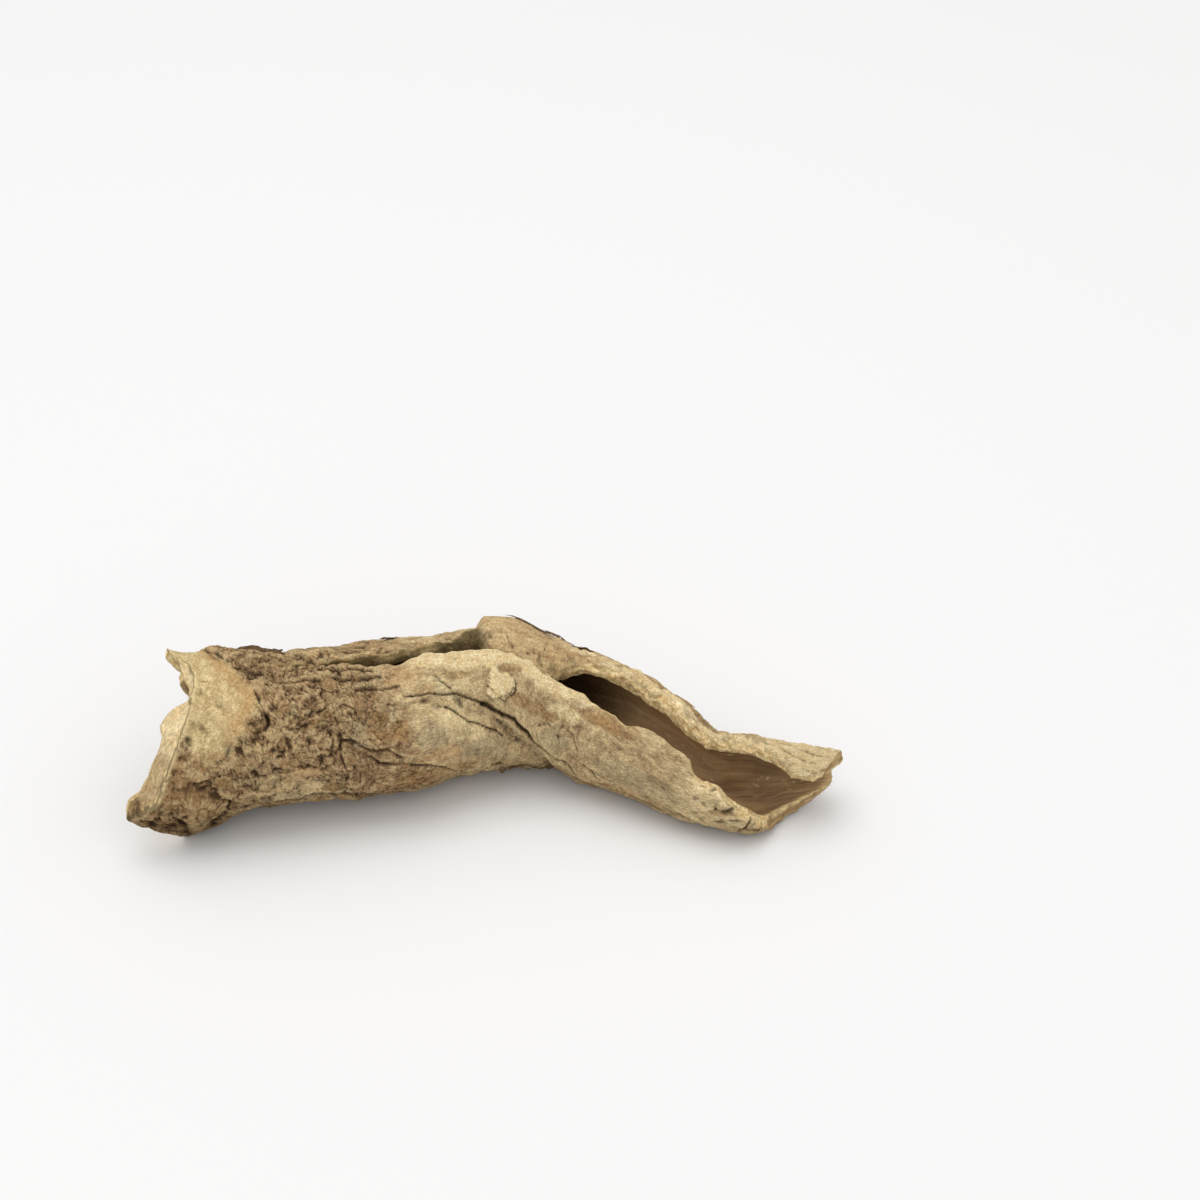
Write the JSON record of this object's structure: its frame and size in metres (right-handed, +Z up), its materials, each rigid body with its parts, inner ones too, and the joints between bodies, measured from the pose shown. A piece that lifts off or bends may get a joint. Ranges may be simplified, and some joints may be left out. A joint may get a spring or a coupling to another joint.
{
  "type": "ashwagandha root",
  "caption": "Dried piece of root bark rolled into a hollow quill, bent in the middle, split along its top, torn open at both ends, with a flared foot at one end.",
  "frame": {"origin": "bottom centre of the bounding box, on the surface that the quill lies on", "axes": "+X along the quill from its flared end to its open trough end, +Y away from the side that the split's lower edge is on, +Z up from the surface"},
  "size_m": [0.0878, 0.0286, 0.0209],
  "materials": {
    "bark": "dry, matt, corky and fibrous"
  },
  "bodies": {
    "root": {"root_bark": "bark"}
  },
  "joints": []
}
